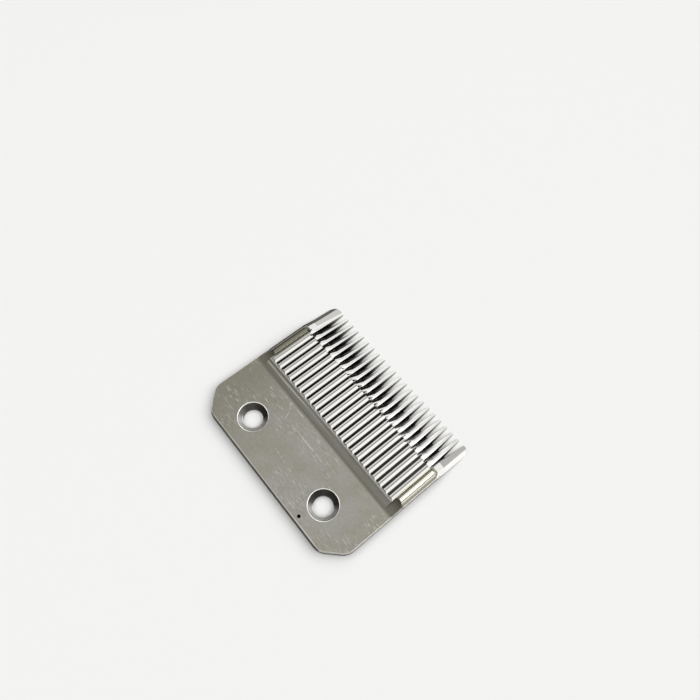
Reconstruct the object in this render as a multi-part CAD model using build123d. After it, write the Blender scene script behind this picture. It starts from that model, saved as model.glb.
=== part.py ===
"""Fixed (comb) blade of a hair clipper: one piece of plated steel, lying on its inner face.

Frame, in millimetres: X runs along the row of teeth, Y from the back edge to the tips, Z up out of the
ribbed outer side. The origin lies on the inner face, midway between the two screw holes. A size named "from
back" is measured along Y from the back edge, and one named "from tip" back from the tooth tips.
"""
import os
from math import acos, cos, radians, sin, sqrt, tan

from build123d import *

# Overall sizes
width = 46.0
depth = 38.5
plate_thickness = 1.8
tip_thickness = 0.3

# Plan outline
corner_cut = 4.4
corner_round = 3.5
front_corner_round = 1.8
edge_round = 0.3

# Screw holes, countersunk from the outer side
hole_spacing = 24.3
hole_from_back = 6.65
hole_diameter = 4.3
sink_diameter = 6.6
sink_angle = 100.0
sink_rim_round = 0.25

# Hardness-test pit beside the right hole
pit_diameter = 0.7
pit_depth = 0.35
pit_inside_hole = 1.35
pit_from_back = 1.4

# Raised rib block: hollow ramp at its back, level top, bevel to the tips
block_rise = 1.25
crest_from_back = 18.1
crest_radius = 0.3
ramp_radius = 3.8
bevel_length = 10.0

# Ribs and the shallow V grooves between them; the pitch is evened out to fill the space between the bars
rib_pitch = 1.79
groove_width = 1.2
groove_depth = 0.3
groove_round = 0.15
rib_edge_round = 0.14

# Rounded bar at each end of the rib block, standing on the ledge along the blade's side
bar_width = 2.04
bar_from_side = 1.6
bar_flank_angle = 20.0
bar_crest_from_back = 19.2
bar_nose_from_tip = 9.3
bar_root_in_ribs = 0.205

# Wide end teeth: a short steep step in front of the bar, a long flat bevel and a sloping outer flank
end_tooth_width = 2.4
end_step_from_tip = 9.0
end_step_length = 1.9
end_step_drop = 0.55
end_flank_width = 0.95
end_flank_angle = 24.0

# V slots ground between the teeth from the outer side: they dive from the ribs until they open through the
# inner face. Their pitch is evened out between the end teeth, and the row sits a little right of the ribs
slot_pitch = 1.89
slot_shift = 0.6
slot_length = 10.5
slot_open_length = 5.0
slot_floor_width = 0.2
tooth_tip_width = 0.39
tooth_tip_round = 0.12

# Hollow ground across the inner face, between the flat mounting land and the cutting land of the teeth
mounting_land = 15.7
cutting_land = 8.8
hollow_depth = 0.2

# Derived sizes and places
half_width = width / 2
back = -hole_from_back
tip = back + depth
block_height = plate_thickness + block_rise
bevel_start = tip - bevel_length
bar_x = half_width - bar_from_side
rib_field_half = bar_x - bar_width / 2 + bar_root_in_ribs
rib_count = round(2 * rib_field_half / rib_pitch)
rib_step = 2 * rib_field_half / rib_count
slot_span = width - 2 * end_tooth_width + tooth_tip_width
slot_count = round(slot_span / slot_pitch)
slot_step = slot_span / slot_count
bevel_slope = (block_height - tip_thickness) / bevel_length
slot_root_height = min(block_height, tip_thickness + bevel_slope * slot_length)
slot_dive = slot_root_height / (slot_length - slot_open_length)
slot_tip_depth = tip_thickness + slot_dive * slot_open_length
slot_flank = (slot_step - tooth_tip_width - slot_floor_width) / 2 / slot_tip_depth
end_step_start = tip - end_step_from_tip
end_step_end = end_step_start + end_step_length
NEAR = 0.01
UPRIGHT = Plane(origin=(0, 0, 0), x_dir=(1, 0, 0), z_dir=(0, -1, 0))


def side_solid(face, half):
    """Extrude a face drawn in (Y, Z) along X, from -half to +half."""
    return extrude(Plane.YZ * face, half, both=True)


def plan_outline():
    """Blade seen from above: cut and rounded back corners, rounded front corners, no slots yet."""
    points = [
        (-half_width + corner_cut, back),
        (half_width - corner_cut, back),
        (half_width, back + corner_cut),
        (half_width, tip),
        (-half_width, tip),
        (-half_width, back + corner_cut),
    ]
    outline = make_face(Polyline(*points, close=True))
    front = outline.vertices().sort_by(Axis.Y)[-2:]
    outline = fillet(front, min(front_corner_round, 0.9 * end_tooth_width))
    rear = outline.vertices().sort_by(Axis.Y)[:4]
    return fillet(rear, corner_round)


def slot_cutter():
    """One V slot: its flat-floored section beyond the tips, carried back and up along the slot's dive."""
    beyond = 1.0
    low = -slot_dive * (slot_open_length + beyond)
    high = low + slot_tip_depth + tip_thickness
    floor = slot_floor_width / 2
    mouth = floor + slot_flank * (high - low)
    section = Polyline((-floor, low), (floor, low), (mouth, high), (-mouth, high), close=True)
    front = Pos(0, tip + beyond, 0) * (UPRIGHT * make_face(section))
    run = (slot_length + 2 * beyond) * sqrt(1 + slot_dive**2)
    return extrude(front, run, dir=(0, -1, slot_dive))


def rounded_tips(blade):
    """Round the upright edges at the tip of every tooth."""
    tips = [edge for edge in blade.edges() if abs(edge.center().Y - tip) < NEAR]
    corners = [edge for edge in tips if edge.bounding_box().size.Z > tip_thickness / 2]
    return fillet(corners, min(tooth_tip_round, 0.45 * tooth_tip_width))


def base_plate():
    """Plate whose flat top runs along both sides as a ledge, then steps and bevels down to the end teeth."""
    profile = Polyline(
        (back, 0),
        (tip, 0),
        (tip, tip_thickness),
        (end_step_end, plate_thickness - end_step_drop),
        (end_step_start, plate_thickness),
        (back, plate_thickness),
        close=True,
    )
    solid = side_solid(make_face(profile), half_width) & extrude(plan_outline(), block_height)
    top = solid.edges().filter_by_position(Axis.Z, plate_thickness - NEAR, plate_thickness + NEAR)
    rim = [edge for edge in top if edge.center().Y < end_step_start - NEAR]
    solid = fillet(rim, edge_round)
    for side in (-1, 1):
        solid -= end_tooth_flank(side)
    return solid


def end_tooth_flank(side):
    """Space over the outer flank of an end tooth: its step and bevel carried outward and down."""
    above = 1.0
    step_slope = end_step_drop / end_step_length
    end_slope = (plate_thickness - end_step_drop - tip_thickness) / (tip - end_step_end)
    outline = Polyline(
        (end_step_end - (end_step_drop + above) / step_slope, plate_thickness + above),
        (end_step_end, plate_thickness - end_step_drop),
        (tip + above, tip_thickness - above * end_slope),
        (tip + above, plate_thickness + above),
        close=True,
    )
    slope = radians(end_flank_angle)
    inner = Plane.YZ.offset(side * (half_width - end_flank_width)) * make_face(outline)
    return extrude(inner, 2 * end_flank_width, dir=(side * cos(slope), 0, -sin(slope)))


def ramped_face(crest, front_points):
    """(Y, Z) face of a raised form: hollow ramp up from the plate, rounded crest, then front_points."""
    sweep = acos(1 - block_rise / ramp_radius)
    foot = crest - ramp_radius * sin(sweep)
    ramp = TangentArc((foot, plate_thickness), (crest, block_height), tangent=(1, 0))
    rest = Polyline(
        (crest, block_height),
        *front_points,
        (foot, plate_thickness / 2),
        (foot, plate_thickness),
    )
    face = make_face(Curve() + [ramp, rest])
    corner = face.vertices().sort_by_distance((crest, block_height))[0]
    return fillet(corner, crest_radius)


def rib_section():
    """(X, Z) face of the ribs: a band with V grooves cut into its top, all their edges rounded."""
    band = Pos(0, block_height / 2) * Rectangle(2 * rib_field_half, block_height)
    mouth = groove_width / 2
    groove = make_face(Polyline((-mouth, 0), (mouth, 0), (0, -groove_depth), close=True))
    for index in range(rib_count + 1):
        band -= Pos((index - rib_count / 2) * rib_step, block_height) * groove
    bottom = block_height - groove_depth
    valleys = band.vertices().filter_by_position(Axis.Y, bottom - NEAR, bottom + NEAR)
    inner = rib_field_half - rib_step / 2
    band = fillet(valleys.filter_by_position(Axis.X, -inner, inner), groove_round)
    crests = band.vertices().filter_by_position(Axis.Y, block_height - NEAR, block_height + NEAR)
    return fillet(crests, rib_edge_round)


def rib_block():
    """Ribs from the ramp to the bevel, whose plane carries on down to the tips of the inner teeth."""
    front = [
        (bevel_start, block_height),
        (tip, tip_thickness),
        (tip, tip_thickness / 2),
        (bevel_start, tip_thickness / 2),
    ]
    ribs = Pos(0, back, 0) * extrude(UPRIGHT * rib_section(), -depth)
    return ribs & side_solid(ramped_face(back + crest_from_back, front), rib_field_half)


def bar_half_section():
    """Right half of a bar's (X, Z) section over the ledge: leaning flank, then a full round top."""
    lean = radians(bar_flank_angle)
    half = bar_width / 2
    top_radius = (half * cos(lean) - block_rise * sin(lean)) / (1 - sin(lean))
    shoulder = (top_radius * cos(lean), block_rise - top_radius + top_radius * sin(lean))
    sunk = -plate_thickness / 2
    flank = Polyline((0, block_rise), (0, sunk), (half, sunk), (half, 0), shoulder)
    crown = RadiusArc(shoulder, (0, block_rise), -top_radius)
    return make_face(Curve() + [flank, crown])


def end_bar(side):
    """Rounded bar with a ramped back end, its section turned through a half circle to make the nose."""
    nose = tip - bar_nose_from_tip - bar_width / 2
    half = UPRIGHT * bar_half_section()
    straight = Pos(0, back, 0) * extrude(half, -(nose - back))
    straight += mirror(straight, about=Plane.YZ)
    turned = Pos(0, nose, 0) * revolve(half, Axis.Z, 180)
    bar = Pos(side * bar_x, 0, plate_thickness) * (straight + turned)
    front = [(tip, block_height), (tip, plate_thickness / 2)]
    return bar & side_solid(ramped_face(back + bar_crest_from_back, front), half_width)


def screw_hole():
    """Bore with a countersink that opens on the outer side."""
    sink_depth = (sink_diameter - hole_diameter) / 2 / tan(radians(sink_angle) / 2)
    bore = Cylinder(hole_diameter / 2, 4 * plate_thickness)
    top_down = (Align.CENTER, Align.CENTER, Align.MAX)
    cone = Cone(hole_diameter / 2, sink_diameter / 2, sink_depth, align=top_down)
    return bore + Pos(0, 0, plate_thickness) * cone


def hollow():
    """Large cylinder along X whose lowest cap hollows the inner face between its two lands."""
    length = depth - mounting_land - cutting_land
    radius = (length**2 / 4 + hollow_depth**2) / (2 * hollow_depth)
    middle = back + mounting_land + length / 2
    return Pos(0, middle, hollow_depth - radius) * Rot(0, 90, 0) * Cylinder(radius, 2 * width)


def fixed_blade():
    """The whole blade as one solid."""
    blade = base_plate()
    for side in (-1, 1):
        blade -= Pos(side * hole_spacing / 2, 0, 0) * screw_hole()
    rims = blade.edges().filter_by(GeomType.CIRCLE).filter_by_position(
        Axis.Z, plate_thickness - NEAR, plate_thickness + NEAR
    )
    rims = [edge for edge in rims if abs(edge.radius - sink_diameter / 2) < NEAR]
    blade = fillet(rims, sink_rim_round)
    pit = Cone(0.02, pit_diameter / 2, pit_depth, align=(Align.CENTER, Align.CENTER, Align.MAX))
    blade -= Pos(hole_spacing / 2 - pit_inside_hole, back + pit_from_back, plate_thickness) * pit
    blade += rib_block()
    for side in (-1, 1):
        blade += end_bar(side)
    slot = slot_cutter()
    first = slot_shift - (slot_count - 1) / 2 * slot_step
    blade -= [Pos(first + index * slot_step, 0, 0) * slot for index in range(slot_count)]
    return rounded_tips(blade - hollow())


os.makedirs("parts", exist_ok=True)
blade = fixed_blade()
blade.label = "fixed_blade"
export_step(blade, "parts/fixed_blade.step")
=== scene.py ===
"""Looks of a hair clipper's fixed blade: plated steel, blasted and polished, lying on a pale table.

Lengths are millimetres in the blade's own frame until they become Blender's metres: X runs along the row of
teeth, Y from the back edge to the tips, Z up out of the ribbed side.
"""
from math import cos, radians, sin
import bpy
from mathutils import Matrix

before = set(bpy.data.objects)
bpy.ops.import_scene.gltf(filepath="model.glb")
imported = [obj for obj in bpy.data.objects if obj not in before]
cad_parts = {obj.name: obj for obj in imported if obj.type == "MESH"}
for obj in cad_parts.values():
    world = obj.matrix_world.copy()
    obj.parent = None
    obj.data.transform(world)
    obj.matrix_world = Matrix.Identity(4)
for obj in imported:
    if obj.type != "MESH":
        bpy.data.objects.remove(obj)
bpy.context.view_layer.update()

from types import SimpleNamespace

import bpy
from mathutils import Matrix, Vector

MM = 0.001

# The photograph's camera: where it stood, how it was turned, and its focal length over a 700 pixel frame
camera_place = (31.51, -17.43, 129.19)
camera_azimuth = -45.76
camera_elevation = 64.25
camera_roll = -6.69
focal_pixels = 619.6
frame_pixels = 700
sensor_width = 36.0

# The table top: half its width in metres, and how far it lies under the blade
table_half = 0.9
table_drop = 0.02

# Limits with no end: farther than any place on the blade, and more than any part of a direction
beyond = 60.0
lean_end = 2.0

# A name that ends in lean_x or lean_z holds limits on the X or Z part of a surface's outward direction, and
# one that ends in steep holds limits on the X part without its sign

# The plate: its top, walls and rounded edges, a painted highlight on the back rim, and painted shade to the
# left
plate_top = 1.8
plate_skin = 0.02
level_lean_z = (0.985, lean_end)
marked_lean_z = (0.98, lean_end)
wall_lean_z = (-0.5, 0.3)
edge_round = 0.3
edge_skin = 0.005
edge_lean_z = (0.3, 0.985)
back_edge_y = -6.3
back_rim_y = (-6.36, -6.16)
left_edge_end_y = 22.0
left_edge_lean_x = (-0.95, -0.3)
left_shade_x = (-6.0, -20.0)
inner_face_lean_z = (-lean_end, -0.6)

# The holes and the pit beside the right one: places, radii from their middles, and how their sides lean
hole_x = 12.15
bore_radius = 2.15
bore_lean_z = (-0.3, 0.3)
# Where a painted highlight lies at the bore's edge
bore_edge_highlight_radii = (bore_radius - 0.05, bore_radius + 0.2)
bore_edge_highlight_lean_z = (0.3, lean_end)
sink_radius = 3.2
sink_turn = {"From Min": -0.25, "From Max": 0.4}
sink_rim_radius = 3.56
sink_rim_lean_z = (0.3, 0.995)
pit_x = 10.8
pit_y = -5.25
pit_radius = 0.38

# The ramp: where painted shade darkens and fades, a painted highlight line on it and one at the crest
ramp_foot_y = 8.55
ramp_dark_y = 9.15
ramp_light_y = 10.5
highlight_line_y = (10.12, 10.48)
highlight_line_fade_x = (3.5, -7.0)
crest_highlight_y = (10.92, 11.36)

# The ribs: painted light and shade lines run a little past the bevel's edge; each land leans left of its
# middle
crest_y = 11.36
bevel_y = 21.85
rib_line_end_y = bevel_y + 0.15
rib_step = 1.79
rib_field_half = 20.58
first_rib_x = -19.8
land_lean = {"From Min": -0.165, "From Max": 0.0, "To Min": -0.045, "To Max": 0.0}

# Painted stripes along a rib, as shares of the pitch from its middle: highlight, grey reflection, and shade
highlight_stripe = (-0.16, 0.0)
reflection_stripe = (0.03, 0.11)
shade_stripes = ((-0.5, -0.37), (0.45, 0.5))

# The end bars, painted with highlights and shade, the ramps behind them and the left shoulder
bar_ramp_y = (9.2, 12.4)
bar_x = (20.36, 22.45)
bar_y = (12.4, 22.7)
bar_shade_x = 21.0
bar_highlight_lean_x = (0.72, lean_end)
bar_outer_lean_x = (0.1, lean_end)
shoulder_x = 22.62
shoulder_lean_z = (0.1, lean_end)

# The teeth: slot roots, walls and openings, end teeth, pointed left flanks in painted shade, and thinning
# crowns
slot_root_y = 21.3
slot_open_y = (27.0, 33.0)
slot_step = 1.8905
slot_shift = 0.6
slot_row_x = (-19.97, 20.44)
slot_wall_x = (-19.97, 22.0)
slot_wall_steep = (0.7, lean_end)
tooth_lean_z = (0.5, lean_end)
end_step_y = (22.85, 24.75)
end_flank_x = 22.08
end_flank_steep = (0.3, 0.7)
flank_share = 0.45
flank_shade_y = (bevel_y + 5.2, bevel_y + 2.4)
flank_shade_right = {"From Min": 5.0, "From Max": 16.0, "To Min": 1.0, "To Max": 0.35}
flank_point = {"From Min": bevel_y, "From Max": bevel_y + 2.0, "To Min": 0.26, "To Max": 0.0}
crown_thinning = {"From Min": 25.5, "From Max": 31.0, "To Min": 1.0, "To Max": 0.4}

# Crown of a tooth across one slot pitch, from slot to slot: share of the pitch, and height
tooth_crown = ((0.0, 0.0), (0.40, 0.318), (0.57, 0.385), (0.70, 0.342), (1.0, 0.13))
crown_top = 0.385

# Scratches on the plate, all nearly along X: middle, half length and half width, and the slope they lie at
scratches = (
    ((-9.2, 8.32), 4.0, 0.075, 0.0),
    ((-0.4, 5.40), 4.9, 0.09, -0.012),
    ((-0.5, -0.72), 3.2, 0.06, -0.1),
    ((7.5, -5.05), 1.6, 0.08, 0.0),
    ((7.3, 7.90), 1.9, 0.06, -0.11),
)
# One curved scratch: its arc's centre, radius and half width, and the corner it stays right of and above
arc_centre = (-12.25, 4.35, 0)
arc_radius = 4.76
arc_half_width = 0.07
arc_corner = (-9.7, 5.0)

# Patterns on the metal: repeats per millimetre along X, Y and Z, and the detail in each. The wheel's lines
# underneath are drawn a little coarser than real ones, so that they show
patterns = {
    "patches": ((1 / 5.0, 1 / 5.0, 1 / 5.0), 3.0),
    "grain": ((1 / 0.45, 1 / 0.45, 1 / 0.45), 2.0),
    "flecks": ((1 / 1.3, 1 / 0.55, 0), 3.0),
    "streaks": ((1 / 1.8, 1 / 0.17, 0), 2.0),
    "clusters": ((1 / 7.0, 1 / 7.0, 1 / 7.0), 1.0),
    "breaks": ((1 / 0.9, 1 / 0.25, 0), 1.0),
    "specks": ((1 / 0.35, 1 / 0.35, 1 / 0.35), 0.0),
    # This one breaks up the painted highlights of the ramp's line and the back rim
    "highlight_breaks": ((1 / 9.0, 1 / 0.11, 0), 1.0),
    "wheel": ((1 / 30.0, 1 / 0.15, 0), 3.0),
}
# What shows of a pattern: its name, the values between which the mark comes up, and the mark's full strength
pattern_marks = {
    "tint": ("patches", 0.35, 0.65, 1.0),
    "flecks": ("flecks", 0.42, 0.78, 0.2),
    "streaks": ("streaks", 0.60, 0.70, 1.0),
    "scuffs": ("streaks", 0.40, 0.31, 1.0),
    "clusters": ("clusters", 0.47, 0.60, 1.0),
    "breaks": ("breaks", 0.42, 0.62, 1.0),
    "specks": ("specks", 0.80, 0.88, 1.0),
    "highlight_breaks": ("highlight_breaks", 0.36, 0.62, 1.0),
}
plate_roughness = {"To Min": 0.52, "To Max": 0.72}
grain_height = 0.0045

# The room's light by direction, as three curves that multiply: left to right, back to front, low to high
room_levels = {
    "X": (
        (-1.0, 0.0),
        (-0.85, 0.02),
        (-0.70, 0.36),
        (-0.55, 1.05),
        (-0.42, 1.0),
        (-0.25, 0.72),
        (0.1, 0.74),
        (0.3, 1.1),
        (0.5, 1.65),
        (0.72, 1.75),
        (0.82, 0.4),
        (1.0, 0.3),
    ),
    "Y": ((-1.0, 0.2), (-0.5, 0.3), (0.0, 0.75), (0.26, 1.0), (0.55, 1.3), (0.75, 1.55), (1.0, 2.0)),
    "Z": ((-1.0, 0.05), (0.12, 0.06), (0.32, 0.12), (0.52, 1.0), (1.0, 1.0)),
}
room_brightest = 2.0
room_scale = 1.27

# A pale wall behind: the direction to its middle, and how it comes up towards that
wall_direction = (-0.2, -0.35, 0.9)
wall_glow = {"From Min": 0.80, "From Max": 0.95, "To Max": 0.8}


def linear(colour):
    """Linear RGBA of an sRGB hex colour such as #8f8c82."""
    parts = [int(colour[start:start + 2], 16) / 255 for start in (1, 3, 5)]
    return [p / 12.92 if p <= 0.04045 else ((p + 0.055) / 1.055) ** 2.4 for p in parts] + [1.0]


def add(tree, kind, inputs=None, **settings):
    """Add a node with its settings; an input is a value, a socket, or a node, for its first live output."""
    node = tree.nodes.new("ShaderNode" + kind)
    for name, value in settings.items():
        setattr(node, name, value)
    for key, value in (inputs or {}).items():
        socket = node.inputs[key]
        if isinstance(key, str):
            socket = next(s for s in node.inputs if s.enabled and s.name == key)
        if isinstance(value, bpy.types.Node):
            value = next(s for s in value.outputs if s.enabled)
        if isinstance(value, bpy.types.NodeSocket):
            tree.links.new(value, socket)
        else:
            socket.default_value = value
    return node


def shape_curve(node, places, handle):
    """Give a Float Curve node its points, the first and last at the ends of its range."""
    points = node.mapping.curves[0].points
    points[0].location = places[0]
    points[1].location = places[-1]
    for place in places[1:-1]:
        points.new(*place)
    for point in points:
        point.handle_type = handle
    node.mapping.update()


def photo_camera():
    """Camera at the photograph's viewpoint, turned by azimuth, elevation and roll."""
    azimuth, elevation, roll = (radians(a) for a in (camera_azimuth, camera_elevation, camera_roll))
    towards = Vector((cos(elevation) * cos(azimuth), cos(elevation) * sin(azimuth), sin(elevation)))
    level = (-towards).cross(Vector((0, 0, 1))).normalized()
    fall = (-towards).cross(level)
    right = cos(roll) * level + sin(roll) * fall
    down = cos(roll) * fall - sin(roll) * level
    data = bpy.data.cameras.new("photo_camera")
    data.sensor_width = sensor_width
    data.lens = sensor_width * focal_pixels / frame_pixels
    data.clip_start = 1 * MM
    camera = bpy.data.objects.new("photo_camera", data)
    turn = Matrix((right, -down, towards)).transposed().to_4x4()
    camera.matrix_world = Matrix.Translation(Vector(camera_place) * MM) @ turn
    bpy.context.scene.collection.objects.link(camera)
    bpy.context.scene.camera = camera


def pale_table():
    """Plain table top of white laminate, matt and nearly without gloss, just under the blade."""
    drop = table_drop * MM
    signs = ((-1, -1), (1, -1), (1, 1), (-1, 1))
    corners = [(across * table_half, along * table_half, -drop) for across, along in signs]
    mesh = bpy.data.meshes.new("table")
    mesh.from_pydata(corners, [], [(0, 1, 2, 3)])
    table = bpy.data.objects.new("table", mesh)
    bpy.context.scene.collection.objects.link(table)
    material = bpy.data.materials.new("white_laminate")
    material.use_nodes = True
    shader = material.node_tree.nodes["Principled BSDF"]
    shader.inputs["Base Color"].default_value = linear("#f6f6f4")
    shader.inputs["Roughness"].default_value = 0.6
    shader.inputs["Specular IOR Level"].default_value = 0.1
    mesh.materials.append(material)


def window_light():
    """World of a room lit from ahead and from the right: three curves multiplied, and a pale wall behind."""
    world = bpy.data.worlds.new("window_room")
    bpy.context.scene.world = world
    world.use_nodes = True
    tree = world.node_tree
    tree.nodes.clear()
    direction = add(tree, "TexCoord").outputs["Generated"]
    axes = add(tree, "SeparateXYZ", {0: direction})
    strength = room_scale
    for axis, levels in room_levels.items():
        share = add(tree, "MapRange", {"Value": axes.outputs[axis], "From Min": -1.0})
        glow = add(tree, "FloatCurve", {"Value": share})
        shape_curve(glow, [((place + 1) / 2, level / room_brightest) for place, level in levels], "VECTOR")
        level = add(tree, "Math", {0: glow, 1: room_brightest}, operation="MULTIPLY")
        strength = add(tree, "Math", {0: level, 1: strength}, operation="MULTIPLY")
    wall = {0: direction, 1: Vector(wall_direction).normalized()}
    facing = add(tree, "VectorMath", wall, operation="DOT_PRODUCT").outputs["Value"]
    glow = add(tree, "MapRange", {"Value": facing, **wall_glow}, interpolation_type="SMOOTHSTEP")
    strength = add(tree, "Math", {0: strength, 1: glow}, operation="ADD")
    room = add(tree, "Background", {"Color": linear("#ffffff"), "Strength": strength})
    plain = add(tree, "Background", {"Color": linear("#f7f7f5")})
    seen = add(tree, "LightPath").outputs["Is Camera Ray"]
    both = add(tree, "MixShader", {0: seen, 1: room, 2: plain})
    add(tree, "OutputWorld", {"Surface": both})


def between(tree, *limits, mask=1.0):
    """A mask kept only where every measure lies between its limits; each limit is (measure, low, high)."""
    for measure, low, high in limits:
        inside = {0: measure, 1: (low + high) / 2, 2: (high - low) / 2}
        inside = add(tree, "Math", inside, operation="COMPARE")
        mask = add(tree, "Math", {0: inside, 1: mask}, operation="MULTIPLY")
    return mask


def measures(tree):
    """Where a point lies in millimetres, which way it faces, and how far it is from each round thing."""
    at = SimpleNamespace()
    surface = add(tree, "TexCoord")
    at.place = add(tree, "VectorMath", {0: surface.outputs["Object"], "Scale": 1 / MM}, operation="SCALE")
    at.x, at.y, at.z = add(tree, "SeparateXYZ", {0: at.place}).outputs
    at.lean_x, at.lean_y, at.lean_z = add(tree, "SeparateXYZ", {0: surface.outputs["Normal"]}).outputs
    at.aside = add(tree, "Math", {0: at.x}, operation="ABSOLUTE")
    at.steep = add(tree, "Math", {0: at.lean_x}, operation="ABSOLUTE")
    flat = add(tree, "CombineXYZ", {"X": at.x, "Y": at.y})
    mirrored = add(tree, "CombineXYZ", {"X": at.aside, "Y": at.y})
    at.from_hole, at.from_pit, at.from_arc = (
        add(tree, "VectorMath", {0: point, 1: centre}, operation="DISTANCE").outputs["Value"]
        for point, centre in ((mirrored, (hole_x, 0, 0)), (flat, (pit_x, pit_y, 0)), (flat, arc_centre))
    )
    return at


def pitch_shares(tree, at):
    """Add the share of a rib pitch from the nearest rib's middle, and of a slot pitch from the left slot.

    The second is moved on at the slots' roots, so that each tooth's left flank starts there in a point.
    """
    rib_place = add(tree, "Math", {0: at.x, 1: 1 / rib_step, 2: 0.5}, operation="MULTIPLY_ADD")
    rib_share = add(tree, "Math", {0: rib_place}, operation="FRACT")
    at.rib_offset = add(tree, "Math", {0: rib_share, 1: -0.5}, operation="ADD")
    tooth_place = {0: at.x, 1: 1 / slot_step, 2: 0.5 - slot_shift / slot_step}
    tooth_place = add(tree, "Math", tooth_place, operation="MULTIPLY_ADD")
    tooth_share = add(tree, "Math", {0: tooth_place}, operation="FRACT")
    moved_on = add(tree, "MapRange", {"Value": at.y, **flank_point})
    tooth_share = add(tree, "Math", {0: tooth_share, 1: moved_on}, operation="ADD")
    at.tooth_share = add(tree, "Math", {0: tooth_share, 1: 1.0}, operation="MINIMUM")


def blade_parts(at):
    """Add the parts of the blade that several finishes share, each as limits for a mask."""
    at.left = (at.x, -beyond, 0)
    at.right = (at.x, 0, beyond)
    at.above = (at.z, plate_top - plate_skin, beyond)
    at.walls = (at.lean_z, *wall_lean_z)
    at.rib_field = (at.aside, 0, rib_field_half)
    at.ends = (at.aside, rib_field_half, beyond)
    at.ribs = ((at.y, crest_y, bevel_y), at.rib_field, at.above)
    at.tooth_tops = (at.lean_z, *tooth_lean_z)
    at.tooth_row = ((at.x, *slot_row_x), (at.y, bevel_y, beyond), at.tooth_tops)


def scratch_mask(tree, at):
    """Mask of the plate's drawn scratches: thin bands about slanted lines, and one band about an arc."""
    left, low = arc_corner
    arc = (at.from_arc, arc_radius - arc_half_width, arc_radius + arc_half_width)
    mask = between(tree, arc, (at.x, left, beyond), (at.y, low, beyond))
    for (middle_x, middle_y), half_length, half_width, slope in scratches:
        rise = {0: at.x, 1: -slope, 2: middle_x * slope - middle_y}
        rise = add(tree, "Math", rise, operation="MULTIPLY_ADD")
        off = add(tree, "Math", {0: at.y, 1: rise}, operation="ADD")
        along = (at.x, middle_x - half_length, middle_x + half_length)
        band = between(tree, (off, -half_width, half_width), along)
        mask = add(tree, "Math", {0: band, 1: mask}, operation="MAXIMUM")
    return mask


# Each function below gives zones to lay one over the other: a mask, a colour, a roughness; many paint light
# or shade


def plate_marks(tree, at, marks):
    """Pale flecks from the blasting, and handling marks: clustered streaks along X, scratches and specks."""
    streaks = add(tree, "Math", {0: marks["streaks"], 1: marks["clusters"]}, operation="MULTIPLY")
    scuffs = add(tree, "Math", {0: marks["scuffs"], 1: marks["clusters"]}, operation="MULTIPLY")
    drawn = add(tree, "Math", {0: scratch_mask(tree, at), 1: marks["breaks"]}, operation="MULTIPLY")
    bright = add(tree, "Math", {0: streaks, 1: drawn}, operation="MAXIMUM")
    bright = add(tree, "Math", {0: bright, 1: marks["specks"]}, operation="MAXIMUM")
    return (
        (marks["flecks"], "#b1aea4", 0.6),
        (scuffs, "#86837a", 0.6),
        (between(tree, (at.lean_z, *marked_lean_z), mask=bright), "#c3c0b6", 0.45),
    )


def ramp_shade_and_highlights(tree, at, marks):
    """Ramp with painted shade above its foot, a painted highlight line dying away to the right, and one at
    the crest.
    """
    foot = add(tree, "MapRange", {"Value": at.y, "From Min": ramp_foot_y, "From Max": ramp_dark_y})
    fade = add(tree, "MapRange", {"Value": at.y, "From Min": ramp_light_y, "From Max": ramp_dark_y})
    dark = add(tree, "Math", {0: foot, 1: fade}, operation="MULTIPLY")
    dying = {"Value": at.x, "From Min": highlight_line_fade_x[0], "From Max": highlight_line_fade_x[1]}
    line_highlight = add(tree, "Math", {0: marks["highlight_breaks"], 1: add(tree, "MapRange", dying)}, operation="MULTIPLY")
    return (
        # Painted shade on the ramp, a painted highlight line broken up by noise, and a painted highlight at
        # the crest
        (between(tree, at.above, mask=dark), "#75726a", 0.62),
        (between(tree, (at.y, *highlight_line_y), at.rib_field, at.above, mask=line_highlight), "#d0cdc2", 0.5),
        (between(tree, (at.y, *crest_highlight_y), at.rib_field, at.above), "#e4e2dc", 0.55),
    )


def edge_shade_and_highlights(tree, at, marks):
    """Walls and back edge in painted shade, painted highlights on the back rim and side edges, brightest on
    the left.
    """
    edges = ((at.z, plate_top - edge_round, plate_top - edge_skin), (at.lean_z, *edge_lean_z))
    left_edge = (*edges, (at.lean_x, *left_edge_lean_x), (at.y, back_edge_y, left_edge_end_y))
    back_rim = ((at.y, *back_rim_y), (at.lean_z, *level_lean_z))
    return (
        # Painted shade on the walls and the back edge; painted highlights on the back rim, the side edges
        # and the left edge
        (between(tree, at.walls, (at.y, -beyond, slot_root_y)), "#3f3d38", 0.4),
        (between(tree, *edges), "#5c5a54", 0.45),
        (between(tree, *back_rim, mask=marks["highlight_breaks"]), "#bfbcb2", 0.5),
        (between(tree, *edges, (at.y, back_edge_y, beyond)), "#d4d2ca", 0.4),
        (between(tree, *left_edge), "#efeee8", 0.7),
    )


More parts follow.
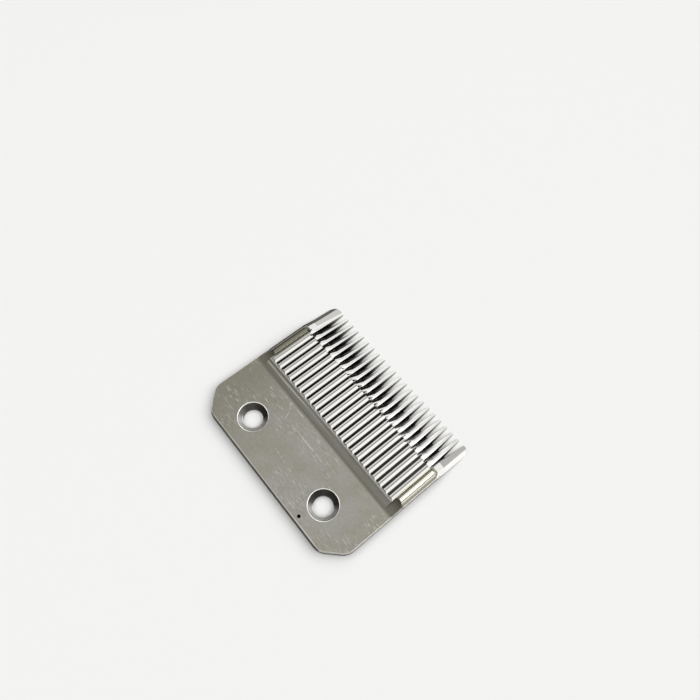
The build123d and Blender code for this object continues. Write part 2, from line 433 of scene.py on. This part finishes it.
def comb_finish_and_shade(tree, at):
    """Polished ribs with painted highlight, reflection and shade stripes along them, and polished teeth.

    The teeth's left flanks get painted shade at the roots only, weaker in the right half of the row, and the
    first rib gets a painted highlight.
    """
    rib_lines = ((at.y, crest_y, rib_line_end_y), at.rib_field, at.above)
    root_shade = {"Value": at.y, "From Min": flank_shade_y[0], "From Max": flank_shade_y[1]}
    root_shade_right = add(tree, "MapRange", {"Value": at.x, **flank_shade_right})
    root_shade = add(tree, "Math", {0: add(tree, "MapRange", root_shade), 1: root_shade_right}, operation="MULTIPLY")
    return (
        (between(tree, *at.ribs), "#b2b1ad", 0.12),
        (between(tree, (at.y, bevel_y, beyond), at.rib_field), "#bdbcb9", 0.12),
        # Painted shade on each tooth's left flank at the roots, weaker to the right
        (between(tree, *at.tooth_row, (at.tooth_share, 0.0, flank_share), mask=root_shade), "#2b2a27", 0.35),
        # Painted highlight, painted reflection and painted shade in stripes along the ribs, and a painted
        # highlight on the first rib
        (between(tree, *at.ribs, (at.rib_offset, *highlight_stripe)), "#c4c3bf", 0.12),
        (between(tree, *rib_lines, (at.rib_offset, *reflection_stripe)), "#868582", 0.2),
        *((between(tree, *rib_lines, (at.rib_offset, *stripe)), "#64635d", 0.3) for stripe in shade_stripes),
        (between(tree, *at.ribs, (at.x, -beyond, first_rib_x)), "#e2e0d6", 0.5),
    )


def end_finish_and_shade(tree, at):
    """Ground end teeth with painted highlights and shade.

    The right end tooth, the left flank, the left shoulder, the ramps behind the bars and the end walls are
    painted darker as shade; the steps and the outer flanks get painted highlights.
    """
    end_teeth = (at.ends, (at.y, end_step_y[0], beyond))
    outside = (at.aside, end_flank_x, beyond)
    flank = (at.steep, *end_flank_steep)
    shoulder_y = (at.y, bar_y[0], end_step_y[1])
    shoulder = ((at.x, -beyond, -shoulder_x), shoulder_y, (at.lean_z, *shoulder_lean_z))
    return (
        (between(tree, *end_teeth), "#b3b2ae", 0.35),
        # Painted shade on the right end tooth
        (between(tree, *end_teeth, at.right), "#a2a19e", 0.35),
        # Painted highlights on the steps and the outer flanks, painted shade on the left flank
        (between(tree, at.ends, (at.y, *end_step_y), at.tooth_tops), "#d6d5d2", 0.4),
        (between(tree, *end_teeth, outside, flank), "#ecebe8", 0.6),
        (between(tree, *end_teeth, (at.x, -beyond, -end_flank_x), flank), "#8d8c86", 0.5),
        # Painted shade on the left shoulder, the ramps behind the bars and the end walls
        (between(tree, *shoulder), "#4f4d47", 0.5),
        (between(tree, at.ends, (at.y, *bar_ramp_y), at.above), "#6f6c62", 0.6),
        (between(tree, outside, (at.y, slot_root_y, beyond), at.walls), "#57554f", 0.4),
    )


def slot_shade_and_light(tree, at):
    """Slot walls in painted shade and left rough, painted lighter towards the open tips where light reaches.
    """
    walls = ((at.steep, *slot_wall_steep), (at.y, slot_root_y, beyond), (at.x, *slot_wall_x))
    opening = {"Value": at.y, "From Min": slot_open_y[0], "From Max": slot_open_y[1]}
    return (
        # Painted shade on the slot walls, and painted light towards the open tips
        (between(tree, *walls), "#2c2b2a", 0.5),
        (between(tree, *walls, mask=add(tree, "MapRange", opening)), "#c4c3bf", 0.4),
    )


def bar_finish_and_shade(tree, at):
    """End bars with their olive and cream tints, and painted light and shade.

    The left one is painted dark as shade with a painted highlight on its inner side; the right one is
    painted pale as lit, brightest on its outer side, with painted shade and a duller finish on its inner
    half.
    """
    bars = ((at.aside, *bar_x), (at.y, *bar_y), (at.z, plate_top + plate_skin, beyond))
    return (
        # Olive and cream tints with painted shade and painted highlights laid over them
        (between(tree, *bars, at.left), "#6c6a5e", 0.32),
        (between(tree, *bars, at.left, (at.lean_x, *bar_highlight_lean_x)), "#efecdc", 0.3),
        (between(tree, *bars, at.right), "#e4e1d0", 0.25),
        (between(tree, *bars, at.right, (at.lean_x, *bar_outer_lean_x)), "#faf7e8", 0.25),
        (between(tree, *bars, (at.x, 0, bar_shade_x)), "#c6c4b3", 0.45),
    )


def hole_shade_and_highlights(tree, at):
    """Countersinks in painted shade, and painted light where they face the front left.

    The bore's edge and the rim get painted highlights; the bores and the pit are painted dark as shade.
    """
    facing = add(tree, "Math", {0: at.lean_y, 1: at.lean_x}, operation="SUBTRACT")
    turned = add(tree, "MapRange", {"Value": facing, **sink_turn}, interpolation_type="SMOOTHSTEP")
    sinks = (at.from_hole, 0, sink_radius)
    inner_edges = ((at.from_hole, *bore_edge_highlight_radii), (at.lean_z, *bore_edge_highlight_lean_z))
    rims = ((at.from_hole, sink_radius, sink_rim_radius), (at.lean_z, *sink_rim_lean_z))
    return (
        # Painted shade in the countersinks, painted light where they face the front left, painted highlights
        # at the bore's edge and rim, and painted shade in the bores and the pit
        (between(tree, sinks), "#62605b", 0.3),
        (between(tree, sinks, mask=turned), "#e4e3df", 0.45),
        (between(tree, *inner_edges, mask=turned), "#fbfaf6", 0.6),
        (between(tree, sinks, (at.lean_z, *bore_lean_z)), "#55534e", 0.5),
        (between(tree, *rims), "#e4e3de", 0.18),
        (between(tree, (at.from_pit, 0, pit_radius)), "#0c0c0b", 0.6),
    )


def inner_face_finish(tree, at, wheel):
    """Ground inner face, with fine lines along X left by the wheel."""
    inner_face = (at.lean_z, *inner_face_lean_z)
    return (
        (between(tree, inner_face), "#b4b3ae", 0.3),
        (between(tree, inner_face, mask=wheel), "#8f8e89", 0.42),
    )


def crown_height(tree, at, grain):
    """Height of what blasting and polishing left: a grain, lands that lean to the left, and crowned teeth.

    A land falls straight to the left of its middle. A tooth falls away from a line right of its middle,
    along the curve of tooth_crown, and less towards its thin tip.
    """
    land = add(tree, "MapRange", {"Value": at.rib_offset, **land_lean})
    land = between(tree, *at.ribs, mask=land)
    crown = add(tree, "FloatCurve", {"Value": at.tooth_share})
    shape_curve(crown, tooth_crown, "AUTO")
    fall = add(tree, "Math", {0: crown, 1: -crown_top}, operation="ADD")
    thinning = add(tree, "MapRange", {"Value": at.y, **crown_thinning})
    fall = add(tree, "Math", {0: fall, 1: thinning}, operation="MULTIPLY")
    fall = between(tree, *at.tooth_row, mask=fall)
    crowns = add(tree, "Math", {0: land, 1: fall}, operation="ADD")
    return add(tree, "Math", {0: grain, 1: grain_height, 2: crowns}, operation="MULTIPLY_ADD")


def plated_steel():
    """Plated steel: a blasted plate with scratches, polished ribs and teeth, and slots between them in
    painted shade.

    The blasting leaves a satin grain in soft olive and mauve patches some millimetres across, and painted
    shade darkens the plate towards the left. The polished parts mirror the room in clear light and dark, and
    painted highlights and shade add to that in many zones.
    """
    material = bpy.data.materials.new("plated_steel")
    material.use_nodes = True
    tree = material.node_tree
    shader = tree.nodes["Principled BSDF"]
    shader.inputs["Metallic"].default_value = 1.0
    at = measures(tree)
    pitch_shares(tree, at)
    blade_parts(at)
    noise = {}
    for name, (repeats, detail) in patterns.items():
        stretched = add(tree, "VectorMath", {0: at.place, 1: repeats}, operation="MULTIPLY")
        noise[name] = add(tree, "TexNoise", {"Vector": stretched, "Scale": 1.0, "Detail": detail})
    marks = {}
    for name, (pattern, low, high, strength) in pattern_marks.items():
        shown = {"Value": noise[pattern], "From Min": low, "From Max": high, "To Max": strength}
        marks[name] = add(tree, "MapRange", shown)

    tints = {"Factor": marks["tint"], "A": linear("#99968b"), "B": linear("#a09e98")}
    colour = add(tree, "Mix", tints, data_type="RGBA")
    # Painted shade: the plate's colour darkens towards the left
    left_shade = add(tree, "MapRange", {"Value": at.x, "From Min": left_shade_x[0], "From Max": left_shade_x[1]})
    colour = add(tree, "Mix", {"Factor": left_shade, "A": colour, "B": linear("#8c897d")}, data_type="RGBA")
    roughness = add(tree, "MapRange", {"Value": noise["grain"], **plate_roughness})
    zones = (
        *plate_marks(tree, at, marks),
        *ramp_shade_and_highlights(tree, at, marks),
        *edge_shade_and_highlights(tree, at, marks),
        *comb_finish_and_shade(tree, at),
        *end_finish_and_shade(tree, at),
        *slot_shade_and_light(tree, at),
        *bar_finish_and_shade(tree, at),
        *hole_shade_and_highlights(tree, at),
        *inner_face_finish(tree, at, noise["wheel"]),
    )
    for mask, shade, gloss in zones:
        colour = add(tree, "Mix", {"Factor": mask, "A": colour, "B": linear(shade)}, data_type="RGBA")
        roughness = add(tree, "Mix", {"Factor": mask, "A": roughness, "B": gloss})

    height = crown_height(tree, at, noise["grain"])
    bump = add(tree, "Bump", {"Height": height, "Strength": 1.0, "Distance": 1.0 * MM})
    tree.links.new(colour.outputs["Result"], shader.inputs["Base Color"])
    tree.links.new(roughness.outputs["Result"], shader.inputs["Roughness"])
    tree.links.new(bump.outputs["Normal"], shader.inputs["Normal"])
    return material


photo_camera()
pale_table()
window_light()
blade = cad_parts["fixed_blade"]
blade.data.materials.clear()
blade.data.materials.append(plated_steel())
bpy.context.scene.view_settings.view_transform = "Standard"
